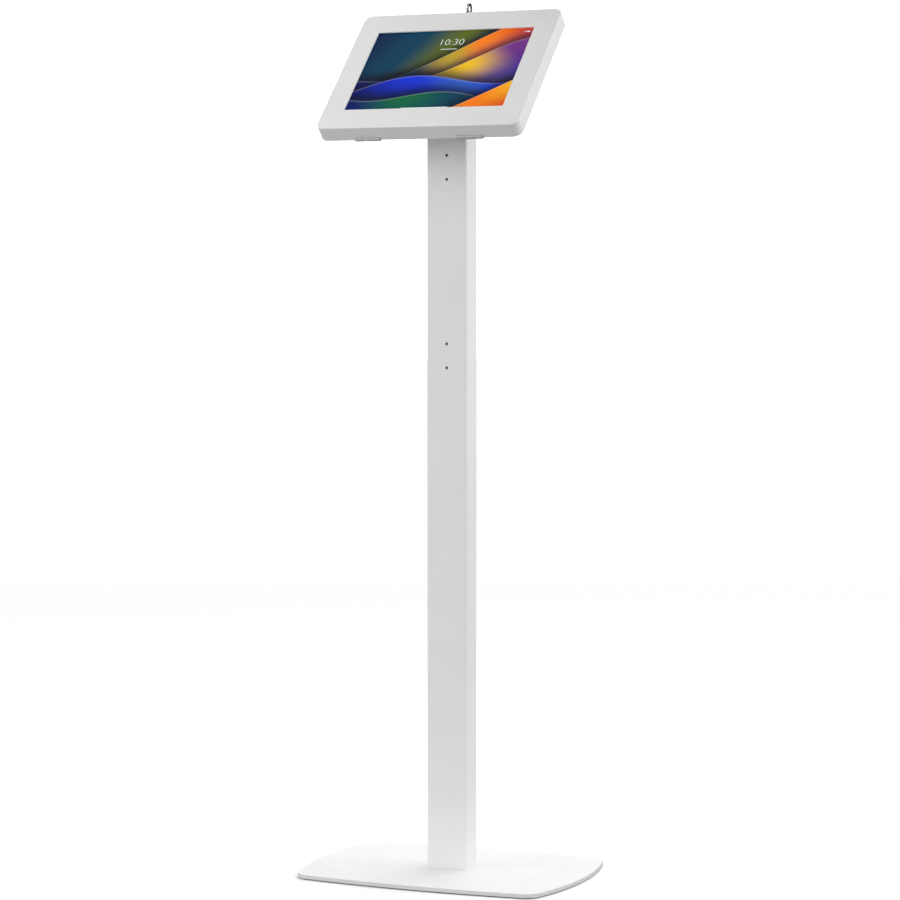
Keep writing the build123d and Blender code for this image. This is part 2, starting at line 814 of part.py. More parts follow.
with BuildPart() as lock_strike:
    with BuildSketch(across(strike_offset_x)):
        with Locations((cam_middle_b, -(lock_depth - cam_half_width - strike_slot_gap - strike_bar))):
            Rectangle(
                strike_height,
                back_front - (lock_depth - cam_half_width - strike_slot_gap - strike_bar),
                align=(Align.CENTER, Align.MAX),
            )
        with Locations((cam_middle_b, -(lock_depth - cam_half_width - strike_slot_gap))):
            Rectangle(
                cam_thickness + 2 * strike_slot_gap,
                back_front - strike_thickness - (lock_depth - cam_half_width - strike_slot_gap),
                align=(Align.CENTER, Align.MAX),
                mode=Mode.SUBTRACT,
            )
    extrude(amount=strike_thickness)
    with BuildSketch(behind(back_front)):
        with Locations((strike_offset_x, cam_middle_b)):
            Rectangle(strike_foot, strike_height, align=(Align.MIN, Align.CENTER))
        with Locations(*strike_screw_places):
            Circle(strike_screw_radius + thread_gap, mode=Mode.SUBTRACT)
    extrude(amount=strike_thickness)
finish(lock_strike, "lock_strike")

strike_screws = screws(
    [rearward(a, b, back_front - strike_thickness) for a, b in strike_screw_places],
    strike_screw_radius,
    strike_thickness + back_thickness + strike_nut_height + strike_screw_end,
    strike_screw_head_radius,
    strike_screw_head_height,
)
finish(strike_screws, "strike_screws")

strike_nuts = nuts(
    [rearward(a, b, cover_depth) for a, b in strike_screw_places],
    strike_nut_flats,
    strike_nut_height,
    strike_screw_radius + thread_gap,
)
finish(strike_nuts, "strike_nuts")

# ======================================================================== key
bow_b = top_b + key_bow_height
key_side = across(-key_thickness / 2)

with BuildPart() as key:
    with BuildSketch(key_side):
        with Locations((bow_b, -lock_depth)):
            Circle(key_bow_radius)
        with Locations((key_shoulder_b, -lock_depth)):
            Rectangle(bow_b - key_shoulder_b, key_shoulder, align=(Align.MIN, Align.CENTER))
        with Locations((bow_b, -lock_depth)):
            Circle(key_hole_radius, mode=Mode.SUBTRACT)
    extrude(amount=key_thickness)
    outer_rims = key.edges().filter_by(GeomType.CIRCLE)
    fillet(outer_rims, key_edge)
    with BuildSketch(key_side):
        with Locations((lock_face_b - key_blade_length, -lock_depth)):
            Rectangle(
                key_shoulder_b - lock_face_b + key_blade_length,
                key_blade_width,
                align=(Align.MIN, Align.CENTER),
            )
        for step, cut in enumerate(key_cut_depths):
            cut_b = lock_face_b - key_blade_length + (step + 1) * key_cut_pitch
            with Locations((cut_b, key_blade_width / 2 - lock_depth)):
                Rectangle(
                    key_cut_pitch / 2, cut, align=(Align.CENTER, Align.MAX), mode=Mode.SUBTRACT
                )
    extrude(amount=key_thickness)
finish(key, "key")
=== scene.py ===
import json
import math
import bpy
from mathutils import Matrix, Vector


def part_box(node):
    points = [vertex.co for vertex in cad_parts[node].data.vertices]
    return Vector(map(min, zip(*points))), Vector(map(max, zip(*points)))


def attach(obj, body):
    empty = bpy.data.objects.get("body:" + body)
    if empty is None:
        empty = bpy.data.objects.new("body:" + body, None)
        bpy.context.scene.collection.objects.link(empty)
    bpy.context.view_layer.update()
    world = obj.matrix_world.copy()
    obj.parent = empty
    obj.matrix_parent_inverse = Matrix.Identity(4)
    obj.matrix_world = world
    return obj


bl_info = {
    "name": "Touchscreen Kiosk Finishes",
    "version": (1, 0, 0),
    "blender": (4, 5, 0),
    "location": "View3D > Sidebar > Kiosk",
    "description": "Finishes, fine detail and studio for a floor-standing touchscreen kiosk",
    "category": "Object",
}

import bmesh
import bpy
from bpy.props import FloatProperty, FloatVectorProperty, PointerProperty, StringProperty
from mathutils import Matrix, Vector

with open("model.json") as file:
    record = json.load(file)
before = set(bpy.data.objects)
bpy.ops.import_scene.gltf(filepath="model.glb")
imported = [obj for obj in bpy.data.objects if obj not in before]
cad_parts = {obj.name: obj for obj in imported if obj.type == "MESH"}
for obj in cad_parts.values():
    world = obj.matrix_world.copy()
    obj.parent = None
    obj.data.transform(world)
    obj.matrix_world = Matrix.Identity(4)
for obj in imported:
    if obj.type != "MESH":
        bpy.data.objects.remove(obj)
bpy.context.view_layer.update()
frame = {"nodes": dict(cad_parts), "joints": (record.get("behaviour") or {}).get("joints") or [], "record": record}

NODES = frame["nodes"]
JOINTS = {joint["name"]: joint for joint in frame["joints"]}

# The enclosure's own axes: across, up the slope of the screen, and out of the screen.
ACROSS = Vector((1, 0, 0))
SLOPE = -Vector(JOINTS["lock_turn"]["axis"]).normalized()
OUTWARD = ACROSS.cross(SLOPE)
ENCLOSURE_AXES = (ACROSS, SLOPE, OUTWARD)


def span(node):
    """Lowest and highest of a CAD node along the enclosure's own three axes."""
    reach = [[axis.dot(vertex.co) for vertex in NODES[node].data.vertices] for axis in ENCLOSURE_AXES]
    return Vector([min(values) for values in reach]), Vector([max(values) for values in reach])


def at(across, slope, outward):
    """A point given along the enclosure's own axes, in the frame."""
    return ACROSS * across + SLOPE * slope + OUTWARD * outward


GLASS_LOW, GLASS_HIGH = span("tablet_glass")
GLASS_MIDDLE = (GLASS_LOW + GLASS_HIGH) / 2
# Point on the front of the glass, at its middle.
GLASS_MIDDLE_POINT = at(GLASS_MIDDLE.x, GLASS_MIDDLE.y, GLASS_HIGH.z)

NAVY = (0.001, 0.004, 0.120)
ROYAL = (0.006, 0.030, 0.62)
SKY = (0.03, 0.11, 0.55)
DEEP_TEAL = (0.0, 0.010, 0.055)
TEAL = (0.0, 0.045, 0.095)
GREEN = (0.002, 0.13, 0.045)
OLIVE = (0.10, 0.13, 0.012)
MUSTARD = (0.50, 0.33, 0.02)
YELLOW = (0.86, 0.50, 0.012)
ORANGE = (0.92, 0.20, 0.006)
EMBER = (0.66, 0.055, 0.006)
PLUM = (0.16, 0.03, 0.22)
INDIGO = (0.010, 0.008, 0.26)

# The picture's dunes of colour, from the farthest to the nearest. Each fills the screen below
# a crest of swing * sin(waves * u + phase) + lean * u + rise, where u and v run from -1 to 1.
RIBBONS = (
    {"waves": 2.3, "phase": -0.4, "swing": 0.16, "lean": 0.78, "rise": 0.42, "turn": 0.10, "fall": 1.1,
     "foot": PLUM,
     "stops": ((0.0, DEEP_TEAL), (0.34, TEAL), (0.58, MUSTARD), (0.74, ORANGE), (1.0, EMBER))},
    {"waves": 2.8, "phase": -1.1, "swing": 0.20, "lean": 0.46, "rise": 0.10, "turn": 0.30, "fall": 0.85,
     "foot": INDIGO, "stops": ((0.0, NAVY), (0.30, SKY), (0.50, MUSTARD), (0.68, YELLOW), (1.0, PLUM))},
    {"waves": 2.4, "phase": 2.5, "swing": 0.24, "lean": 0.20, "rise": -0.30, "turn": 0.12, "fall": 0.7,
     "foot": DEEP_TEAL, "stops": ((0.0, NAVY), (0.36, ROYAL), (0.60, SKY), (0.82, ROYAL), (1.0, NAVY))},
    {"waves": 3.1, "phase": 1.0, "swing": 0.14, "lean": -0.10, "rise": -0.66, "turn": 0.10, "fall": 0.6,
     "foot": TEAL, "stops": ((0.0, NAVY), (0.30, GREEN), (0.60, TEAL), (1.0, DEEP_TEAL))},
    {"waves": 1.9, "phase": -1.5, "swing": 0.22, "lean": 0.62, "rise": -0.98, "turn": 0.0, "fall": 0.6,
     "foot": EMBER, "stops": ((0.0, OLIVE), (0.55, OLIVE), (0.74, ORANGE), (1.0, YELLOW))},
)


# ------------------------------------------------------------------ shader maths
class Field:
    """A number, colour or vector that varies over a surface. Arithmetic adds Math nodes."""

    def __init__(self, finish, socket):
        self.finish = finish
        self.socket = socket

    def math(self, operation, first, *rest):
        return self.finish.node("ShaderNodeMath", {"operation": operation}, enumerate((first, *rest)))

    def __add__(self, other):
        return self.math("ADD", self, other)

    def __radd__(self, other):
        return self.math("ADD", other, self)

    def __sub__(self, other):
        return self.math("SUBTRACT", self, other)

    def __rsub__(self, other):
        return self.math("SUBTRACT", other, self)

    def __mul__(self, other):
        return self.math("MULTIPLY", self, other)

    def __rmul__(self, other):
        return self.math("MULTIPLY", other, self)

    def __truediv__(self, other):
        return self.math("DIVIDE", self, other)

    def __abs__(self):
        return self.math("ABSOLUTE", self)

    def sine(self):
        return self.math("SINE", self)

    def largest(self, other):
        return self.math("MAXIMUM", self, other)

    def ramp(self, low, high, low_value=0.0, high_value=1.0):
        """Smooth step from low_value at low to high_value at high."""
        sockets = {0: self, 1: low, 2: high, 3: low_value, 4: high_value}
        return self.finish.node("ShaderNodeMapRange", {"interpolation_type": "SMOOTHSTEP"}, sockets.items())


class Shading:
    """A node tree and the point that its patterns are worked out at."""

    def __init__(self, tree, coordinates):
        self.tree = tree
        self.place = self.node("ShaderNodeTexCoord", {}, (), output=coordinates)

    def node(self, kind, settings, sockets, output=0):
        """Adds a node: its settings first, then the values or links of its sockets."""
        made = self.tree.nodes.new(kind)
        for setting, value in settings.items():
            if setting == "stops":
                self.fill_ramp(made.color_ramp, value)
            elif setting == "easing":
                made.color_ramp.interpolation = value
            else:
                setattr(made, setting, value)
        for key, value in sockets:
            self.feed(made.inputs[key], value)
        return Field(self, made.outputs[output])

    def feed(self, socket, value):
        if isinstance(value, Field):
            self.tree.links.new(value.socket, socket)
        elif socket.type == "RGBA":
            socket.default_value = (*value[:3], 1.0)
        else:
            socket.default_value = value

    @staticmethod
    def fill_ramp(ramp, stops):
        while len(ramp.elements) < len(stops):
            ramp.elements.new(0.5)
        for element, (position, colour) in zip(ramp.elements, stops):
            element.position = position
            element.color = (*colour, 1.0)

    def stretch(self, x, y, z):
        """The object's coordinates scaled along each axis, in features per metre."""
        sockets = {0: self.place, 1: (x, y, z)}
        return self.node("ShaderNodeVectorMath", {"operation": "MULTIPLY"}, sockets.items())

    def noise(self, scale, detail=2.0, roughness=0.5, vector=None):
        sockets = {"Vector": vector or self.place, "Scale": scale, "Detail": detail, "Roughness": roughness}
        return self.node("ShaderNodeTexNoise", {}, sockets.items())

    def cells(self, scale):
        sockets = {"Vector": self.place, "Scale": scale}
        return self.node("ShaderNodeTexVoronoi", {}, sockets.items(), output="Distance")

    def along(self, direction, origin=Vector()):
        """How far the surface point is from origin along a direction, in metres."""
        return self.dot(self.place, direction) - direction.dot(origin)

    def facing(self, direction):
        """1 where the surface faces a direction, 0 square to it, -1 away from it."""
        return self.dot(self.node("ShaderNodeNewGeometry", {}, (), output="Normal"), direction)

    def dot(self, field, direction):
        settings = {"operation": "DOT_PRODUCT"}
        sockets = {0: field, 1: tuple(direction)}
        return self.node("ShaderNodeVectorMath", settings, sockets.items(), output="Value")

    def mix(self, factor, first, second):
        """Colour between first and second."""
        sockets = {0: factor, 6: first, 7: second}
        return self.node("ShaderNodeMix", {"data_type": "RGBA"}, sockets.items(), output=2)

    def gradient(self, factor, stops):
        return self.node("ShaderNodeValToRGB", {"stops": stops, "easing": "EASE"}, ((0, factor),))

    def bump(self, height, depth):
        """A normal from a height field; depth is in metres for a height of 1."""
        sockets = {"Height": height, "Distance": depth}
        return self.node("ShaderNodeBump", {}, sockets.items())


class Finish(Shading):
    """One procedural material, built round a Principled shader."""

    def __init__(self, name):
        self.material = bpy.data.materials.new(name)
        self.material.use_nodes = True
        super().__init__(self.material.node_tree, "Object")
        self.shader = self.tree.nodes["Principled BSDF"]

    def set(self, **values):
        """Feeds the shader's sockets; base_color stands for Base Color, and so on."""
        for name, value in values.items():
            label = name.replace("_", " ").title().replace("Ior", "IOR")
            self.feed(self.shader.inputs[label], value)


def shade(colour, factor):
    """A colour made lighter or darker by a factor."""
    return tuple(min(1.0, channel * factor) for channel in colour[:3])


# ---------------------------------------------------------------------- finishes
def powder_coat(paint, name="powder_coat", depth=1.0, scuff_and_upright_shade=0.0):
    """Satin powder coat: orange peel, faint clouds, specks, handling marks, and upright faces darkened partly by
    scuffs and mostly by painted shade.
    """
    finish = Finish(name)
    cloud = finish.noise(14, detail=3)
    grain = finish.noise(620, detail=1)
    speck = finish.cells(420).ramp(0.06, 0.02)
    rare = finish.noise(90, detail=0).ramp(0.66, 0.7)
    smear = finish.noise(1.0, detail=4, vector=finish.stretch(26, 40, 9)).ramp(0.52, 0.78)
    # A depth below 1 paints the whole coat darker, as painted shade.
    pale, deep = shade(paint.colour, 1.012 * depth), shade(paint.colour, 0.985 * depth)
    tint = finish.mix(cloud.ramp(0.3, 0.7), deep, pale)
    dusty = finish.facing(Vector((0, 0, 1))).ramp(0.75, 1.0) * finish.noise(60, detail=5).ramp(0.45, 0.75)
    tint = finish.mix(dusty * 0.05, tint, (0.62, 0.60, 0.57))
    tint = finish.mix(speck * rare * 0.35, tint, shade(paint.colour, 0.55))
    tint = finish.mix(smear * 0.035, tint, shade(paint.colour, 0.86))
    # Upright faces are darkened: partly scuff streaks, mostly painted shade.
    if scuff_and_upright_shade:
        upright = abs(finish.facing(Vector((0, 0, 1)))).ramp(0.75, 0.35)
        rubbed = finish.noise(1.0, detail=4, vector=finish.stretch(30, 30, 400)).ramp(0.25, 0.75, 0.7, 1.0)
        tint = finish.mix(upright * rubbed * scuff_and_upright_shade, tint, shade(paint.colour, 0.62))
    peel = finish.noise(paint.peel_per_metre, detail=2, roughness=0.45)
    rough = paint.roughness + (grain - 0.5) * 0.10 + smear * 0.06 + dusty * 0.10
    normal = finish.bump(peel * 0.75 + grain * 0.25, paint.peel_depth)
    finish.set(base_color=tint, roughness=rough, normal=normal, specular_ior_level=0.42)
    return finish.material


def plated_steel(metal):
    """Zinc-plated steel with a drawn grain and dull, slightly yellowed patches."""
    finish = Finish("plated_steel")
    grain = finish.noise(1.0, detail=3, vector=finish.stretch(300, 2600, 2600))
    patch = finish.noise(130, detail=4)
    tint = finish.mix(patch.ramp(0.35, 0.7), metal.zinc, shade(metal.zinc, 0.78))
    tint = finish.mix(finish.noise(60, detail=2).ramp(0.55, 0.8) * 0.25, tint, (0.60, 0.55, 0.40))
    rough = 0.27 + patch * 0.16 + grain * 0.10
    normal = finish.bump(grain * 0.6 + finish.noise(900) * 0.4, 0.00004)
    finish.set(base_color=tint, roughness=rough, normal=normal, metallic=1.0)
    return finish.material


def nickel(metal):
    """Bright nickel plate with fine handling scratches."""
    finish = Finish("nickel_plate")
    scratch = finish.noise(1.0, detail=5, vector=finish.stretch(900, 90, 4200)).ramp(0.5, 0.72)
    cross = finish.noise(1.0, detail=4, vector=finish.stretch(3600, 2600, 120)).ramp(0.55, 0.75)
    worn = finish.noise(210, detail=3)
    tint = finish.mix(worn.ramp(0.45, 0.8), metal.nickel, shade(metal.nickel, 0.85))
    rough = 0.10 + worn * 0.12 + scratch * 0.12 + cross * 0.06
    normal = finish.bump(scratch * 0.5 + cross * 0.5, 0.00002)
    finish.set(base_color=tint, roughness=rough, normal=normal, metallic=1.0)
    return finish.material


def rubber():
    """Black moulded rubber, matt, with a fine grain and pale dust."""
    finish = Finish("black_rubber")
    grain = finish.noise(1500, detail=3)
    dust = finish.noise(170, detail=5).ramp(0.5, 0.8)
    tint = finish.mix(dust * 0.35, (0.022, 0.022, 0.023), (0.10, 0.098, 0.094))
    normal = finish.bump(grain, 0.00005)
    finish.set(base_color=tint, roughness=0.66 + grain * 0.2, normal=normal, specular_ior_level=0.3)
    return finish.material


def moulded_plastic():
    """Black moulded plastic with a spark-eroded texture and rubbed high spots."""
    finish = Finish("black_plastic")
    spark = finish.cells(1700)
    rub = finish.noise(95, detail=4).ramp(0.5, 0.75)
    tint = finish.mix(rub * 0.5, (0.024, 0.024, 0.026), (0.060, 0.060, 0.063))
    rough = 0.56 - rub * 0.16 + spark * 0.1
    finish.set(base_color=tint, roughness=rough, normal=finish.bump(spark, 0.00006))
    return finish.material


def closed_foam():
    """Dark grey closed-cell foam, full of small skinned-over bubbles."""
    finish = Finish("closed_foam")
    bubble = finish.cells(1300)
    tint = finish.mix(bubble.ramp(0.1, 0.7), (0.045, 0.045, 0.047), (0.105, 0.104, 0.102))
    finish.set(base_color=tint, roughness=0.9, normal=finish.bump(bubble, 0.00018))
    return finish.material


def anodised(metal):
    """Bead-blasted, anodised aluminium."""
    finish = Finish("anodised_aluminium")
    blast = finish.noise(3800, detail=2)
    cloud = finish.noise(45, detail=3)
    tint = finish.mix(cloud.ramp(0.3, 0.7), metal.aluminium, shade(metal.aluminium, 0.94))
    rough = 0.36 + blast * 0.12
    finish.set(base_color=tint, roughness=rough, normal=finish.bump(blast, 0.00002), metallic=1.0)
    return finish.material


def lit_screen(screen):
    """Cover glass over a lit display: wide soft ribbons of colour inside a black border."""
    finish = Finish("lit_screen")
    across = finish.along(ACROSS, GLASS_MIDDLE_POINT)
    up = finish.along(SLOPE, GLASS_MIDDLE_POINT)
    u = across / (screen.width / 2)
    v = up / (screen.height / 2)
    front = finish.facing(OUTWARD).ramp(0.9, 0.99)
    edge = (abs(across) - screen.width / 2).largest(abs(up) - screen.height / 2)
    lit = edge.ramp(0.0, -0.0006) * front

    picture = finish.gradient(
        u * 0.34 - v * 0.12 + 0.5,
        ((0.0, DEEP_TEAL), (0.26, TEAL), (0.44, OLIVE), (0.60, DEEP_TEAL), (1.0, TEAL)),
    )
    for ribbon in RIBBONS:
        wave = (u * ribbon["waves"] + ribbon["phase"]).sine() * ribbon["swing"]
        depth = wave + u * ribbon["lean"] + ribbon["rise"] - v
        cast = depth.ramp(-0.42, 0.0)
        picture = finish.mix(cast * cast * 0.72, picture, (0.0, 0.002, 0.010))
        glow = finish.gradient(u * 0.42 + v * ribbon["turn"] + 0.5, ribbon["stops"])
        rim = depth.ramp(0.0, 0.05, 1.0, 0.0)
        glow = finish.mix(rim * 0.12, glow, (0.9, 0.95, 0.80))
        fall = depth.ramp(0.08, ribbon["fall"])
        glow = finish.mix(fall * 0.9, glow, ribbon["foot"])
        picture = finish.mix(depth.ramp(-0.004, 0.010), picture, glow)

    smudge = finish.noise(38, detail=5).ramp(0.45, 0.72)
    streak = finish.noise(1.0, detail=3, vector=finish.stretch(60, 320, 320)).ramp(0.55, 0.8)
    emission = finish.mix(lit, (0.0, 0.0, 0.0), picture)
    finish.set(
        base_color=(0.004, 0.004, 0.005),
        roughness=0.05 + smudge * 0.07 + streak * 0.04,
        normal=finish.bump(smudge, 0.00001),
        emission_color=emission,
        emission_strength=screen.brightness,
        specular_ior_level=screen.gloss,
    )
    return finish.material


def glowing_ink(screen):
    """White screen lettering, slightly bluish, with the faint grid of the display behind it."""
    finish = Finish("screen_ink")
    grid = finish.noise(2400, detail=0)
    ink = finish.mix(grid.ramp(0.3, 0.7), (0.80, 0.88, 0.95), (0.92, 0.97, 1.0))
    finish.set(
        base_color=(0.01, 0.01, 0.01), roughness=0.1,
        emission_color=ink, emission_strength=screen.brightness,
    )
    return finish.material


def lens_glass():
    """Dark coated lens with a faint violet ring."""
    finish = Finish("lens_glass")
    ring = finish.noise(420, detail=1).ramp(0.4, 0.6)
    tint = finish.mix(ring, (0.006, 0.006, 0.010), (0.018, 0.012, 0.030))
    rough = 0.04 + finish.noise(300, detail=3) * 0.05
    finish.set(base_color=tint, roughness=rough, coat_weight=0.6, coat_roughness=0.03)
    return finish.material


def cell_foil():
    """Black foil wrap of a flat cell, wrinkled along its edges."""
    finish = Finish("cell_foil")
    wrinkle = finish.noise(1.0, detail=5, vector=finish.stretch(150, 420, 420))
    tint = finish.mix(wrinkle.ramp(0.35, 0.7), (0.018, 0.018, 0.020), (0.05, 0.05, 0.054))
    finish.set(base_color=tint, roughness=0.3 + wrinkle * 0.2, normal=finish.bump(wrinkle, 0.0002))
    return finish.material


def circuit_board():
    """Green solder mask with a pattern of copper-coloured pads and traces."""
    finish = Finish("circuit_board")
    pads = finish.cells(520).ramp(0.24, 0.2)
    trace = (finish.along(SLOPE) * 3200 + finish.noise(120, detail=2) * 26).sine().ramp(0.55, 0.8)
    mask = finish.mix(trace * 0.6, (0.006, 0.070, 0.030), (0.020, 0.150, 0.060))
    tint = finish.mix(pads, mask, (0.62, 0.47, 0.20))
    finish.set(base_color=tint, roughness=0.42 - pads * 0.16, normal=finish.bump(trace + pads, 0.00005))
    return finish.material


def black_cloth():
    """Black velvet."""
    finish = Finish("black_cloth")
    nap = finish.noise(400, detail=2)
    tint = finish.mix(nap, (0.004, 0.004, 0.004), (0.008, 0.008, 0.008))
    finish.set(base_color=tint, roughness=1.0)
    return finish.material


def bounce_card(stage):
    """Grey card under the floor, which lights the kiosk from below less than the white floor would."""
    finish = Finish("bounce_card")
    mottle = finish.noise(2, detail=2)
    grey = (stage.floor_bounce,) * 3
    finish.set(base_color=finish.mix(mottle, shade(grey, 0.98), shade(grey, 1.02)), roughness=0.9)
    return finish.material


def studio_floor(stage):
    """Pale seamless floor whose far edge runs out into the background's white."""
    finish = Finish("studio_floor")
    length = {"operation": "LENGTH"}
    reach = finish.node("ShaderNodeVectorMath", length, ((0, finish.place),), output="Value")
    mottle = finish.noise(3, detail=3)
    low, high = shade(stage.floor_colour, 0.995), shade(stage.floor_colour, 1.005)
    tint = finish.mix(mottle.ramp(0.3, 0.7), low, high)
    finish.set(base_color=tint, roughness=0.85, specular_ior_level=0.1)
    near = Field(finish, finish.shader.outputs[0])
    far = finish.node("ShaderNodeEmission", {}, (("Color", (1, 1, 1)), ("Strength", stage.backdrop)))
    sockets = {0: reach.ramp(stage.fade_start, stage.fade_end), 1: near, 2: far}
    both = finish.node("ShaderNodeMixShader", {}, sockets.items())
    finish.feed(finish.tree.nodes["Material Output"].inputs["Surface"], both)
    return finish.material


# ---------------------------------------------------------------------- settings
class KioskPaint(bpy.types.PropertyGroup):
    """The powder coat on the sheet metal."""

    colour: FloatVectorProperty(
        name="Paint colour", description="Powder coat on base, post and enclosure",
        subtype="COLOR", size=3, min=0.0, max=1.0, default=(0.80, 0.80, 0.795),
    )
    roughness: FloatProperty(
        name="Satin", description="Roughness of the coat between its marks",
        subtype="FACTOR", min=0.0, max=1.0, default=0.40,
    )
    peel_per_metre: FloatProperty(
        name="Orange peel", description="Bumps in a metre of coat", min=50.0, max=3000.0, default=620.0,
    )
    peel_depth: FloatProperty(
        name="Peel depth", description="Height of the orange peel",
        subtype="DISTANCE", unit="LENGTH", min=0.0, max=0.001, precision=6, default=0.00006,
    )
    edge_round: FloatProperty(
        name="Edge round", description="How far the coat rounds the cut edges of the sheet metal",
        subtype="DISTANCE", unit="LENGTH", min=0.0, max=0.002, precision=5, default=0.0004,
    )


class KioskMetals(bpy.types.PropertyGroup):
    """Bare metals of the fasteners, the lock and the tablet."""

    zinc: FloatVectorProperty(
        name="Zinc", description="Zinc plate on screws, nuts and pins",
        subtype="COLOR", size=3, min=0.0, max=1.0, default=(0.56, 0.57, 0.58),
    )
    nickel: FloatVectorProperty(
        name="Nickel", description="Nickel plate on the lock and the key",
        subtype="COLOR", size=3, min=0.0, max=1.0, default=(0.44, 0.43, 0.41),
    )
    aluminium: FloatVectorProperty(
        name="Aluminium", description="Anodised shell of the tablet",
        subtype="COLOR", size=3, min=0.0, max=1.0, default=(0.60, 0.61, 0.63),
    )
    rim: FloatProperty(
        name="Rim height", description="How far the key's rims and the ring on the lock's face stand out",
        subtype="DISTANCE", unit="LENGTH", min=0.0001, max=0.001, precision=5, default=0.00035,
    )


class KioskScreen(bpy.types.PropertyGroup):
    """What the display shows and how large its lit part is."""

    width: FloatProperty(
        name="Lit width", description="Width of the lit part of the display",
        subtype="DISTANCE", unit="LENGTH", min=0.1, max=0.24, precision=4, default=0.2325,
    )
    height: FloatProperty(
        name="Lit height", description="Height of the lit part of the display",
        subtype="DISTANCE", unit="LENGTH", min=0.08, max=0.17, precision=4, default=0.1630,
    )
    brightness: FloatProperty(
        name="Brightness", description="Strength of the display's own light",
        min=0.0, max=10.0, default=1.0,
    )
    gloss: FloatProperty(
        name="Glass gloss", description="Reflection of the anti-glare cover glass",
        subtype="FACTOR", min=0.0, max=1.0, default=0.08,
    )
    clock: StringProperty(name="Clock", description="Digits shown near the top", default="10:30")
    clock_height: FloatProperty(
        name="Clock size", description="Height of the clock's digits",
        subtype="DISTANCE", unit="LENGTH", min=0.004, max=0.04, precision=4, default=0.0125,
    )


class KioskWelds(bpy.types.PropertyGroup):
    """The weld that joins the post to its head plate."""

    bead: FloatProperty(
        name="Bead", description="Radius of the weld bead under the paint",
        subtype="DISTANCE", unit="LENGTH", min=0.0005, max=0.004, precision=5, default=0.0017,
    )
    ripple: FloatProperty(
        name="Ripple pitch", description="Distance from one ripple of the weld to the next",
        subtype="DISTANCE", unit="LENGTH", min=0.0005, max=0.005, precision=5, default=0.0016,
    )


class KioskStudio(bpy.types.PropertyGroup):
    """Floor, light and camera."""

    floor_colour: FloatVectorProperty(
        name="Floor", description="Colour of the floor",
        subtype="COLOR", size=3, min=0.0, max=1.0, default=(0.93, 0.93, 0.93),
    )
    floor_bounce: FloatProperty(
        name="Floor bounce", description="How much light the floor throws back up at the kiosk",
        subtype="FACTOR", min=0.0, max=1.0, default=0.27,
    )
    backdrop: FloatProperty(
        name="Backdrop", description="Brightness of the seamless white behind",
        min=0.0, max=4.0, default=1.0,
    )
    fade_start: FloatProperty(
        name="Fade start", description="Where the floor begins to run out into the white",
        subtype="DISTANCE", unit="LENGTH", min=0.5, max=50.0, default=1.5,
    )
    fade_end: FloatProperty(
        name="Fade end", description="Where the floor has run out into the white",
        subtype="DISTANCE", unit="LENGTH", min=1.0, max=60.0, default=4.5,
    )
    left_fill: FloatProperty(
        name="Left fill", description="Brightness of the studio to the left",
        min=0.0, max=4.0, default=1.48,
    )
    zenith: FloatProperty(
        name="Zenith", description="Brightness straight above, against the brightness all round",
        min=0.0, max=4.0, default=0.35,
    )
    right_fill: FloatProperty(
        name="Right fill", description="Brightness of the studio to the right",
        min=0.0, max=4.0, default=1.54,
    )
    overhead: FloatProperty(
        name="Overhead softbox", description="Power of the softbox above",
        unit="POWER", min=0.0, max=500.0, default=60.0,
    )
    front: FloatProperty(
        name="Front softbox", description="Power of the softbox to the left of the front",
        unit="POWER", min=0.0, max=500.0, default=12.0,
    )
    side: FloatProperty(
        name="Side softbox", description="Power of the softbox to the right",
        unit="POWER", min=0.0, max=500.0, default=3.4,
    )
    azimuth: FloatProperty(
        name="Camera azimuth", description="How far the camera stands to the right of the front",
        subtype="ANGLE", unit="ROTATION", min=-math.pi, max=math.pi, default=math.radians(23.418),
    )
    pitch: FloatProperty(
        name="Camera pitch", description="How far the camera looks down",
        subtype="ANGLE", unit="ROTATION", min=-math.pi / 2, max=math.pi / 2, default=math.radians(3.093),
    )
    distance: FloatProperty(
        name="Camera distance", description="From the camera to the post's axis",
        subtype="DISTANCE", unit="LENGTH", min=0.5, max=20.0, precision=4, default=3.9853,
    )
    height: FloatProperty(
        name="Camera height", description="Camera above the floor",
        subtype="DISTANCE", unit="LENGTH", min=0.0, max=5.0, precision=4, default=0.7956,
    )
    aside: FloatProperty(
        name="Camera offset", description="Camera to the right of the line through the post's axis",
        subtype="DISTANCE", unit="LENGTH", min=-1.0, max=1.0, precision=4, default=-0.0026,
    )
    focal_length: FloatProperty(
        name="Focal length", description="Focal length on a 36 mm sensor, in millimetres",
        min=10.0, max=400.0, default=116.94,
    )


SETTINGS = {
    "kiosk_paint": KioskPaint,
    "kiosk_metals": KioskMetals,
    "kiosk_screen": KioskScreen,
    "kiosk_welds": KioskWelds,
    "kiosk_studio": KioskStudio,
}


# ----------------------------------------------------------------------- making
def nodes_in(*slots):
    """The CAD nodes that some material slots cover."""
    return [row["node"] for row in frame["record"]["subparts"] if row["material_slot"] in slots]


def coat(nodes, material):
    """Gives CAD nodes a material."""
    for name in nodes:
        NODES[name].data.materials.clear()
        NODES[name].data.materials.append(material)


def round_edges(nodes, width):
    """Rounds the sharp edges of CAD nodes with a modifier, which leaves their own mesh alone."""
    for name in nodes:
        bevel = NODES[name].modifiers.new("edge_round", "BEVEL")
        bevel.width = width
        bevel.segments = 2
        bevel.limit_method = "ANGLE"
        bevel.angle_limit = math.radians(50)
        bevel.harden_normals = True


def new_piece(name, mesh, material, body):
    """Adds a mesh to the scene as a piece that rides on a body."""
    piece = bpy.data.objects.new(name, mesh)
    bpy.context.scene.collection.objects.link(piece)
    mesh.materials.clear()
    mesh.materials.append(material)
    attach(piece, body)
    return piece


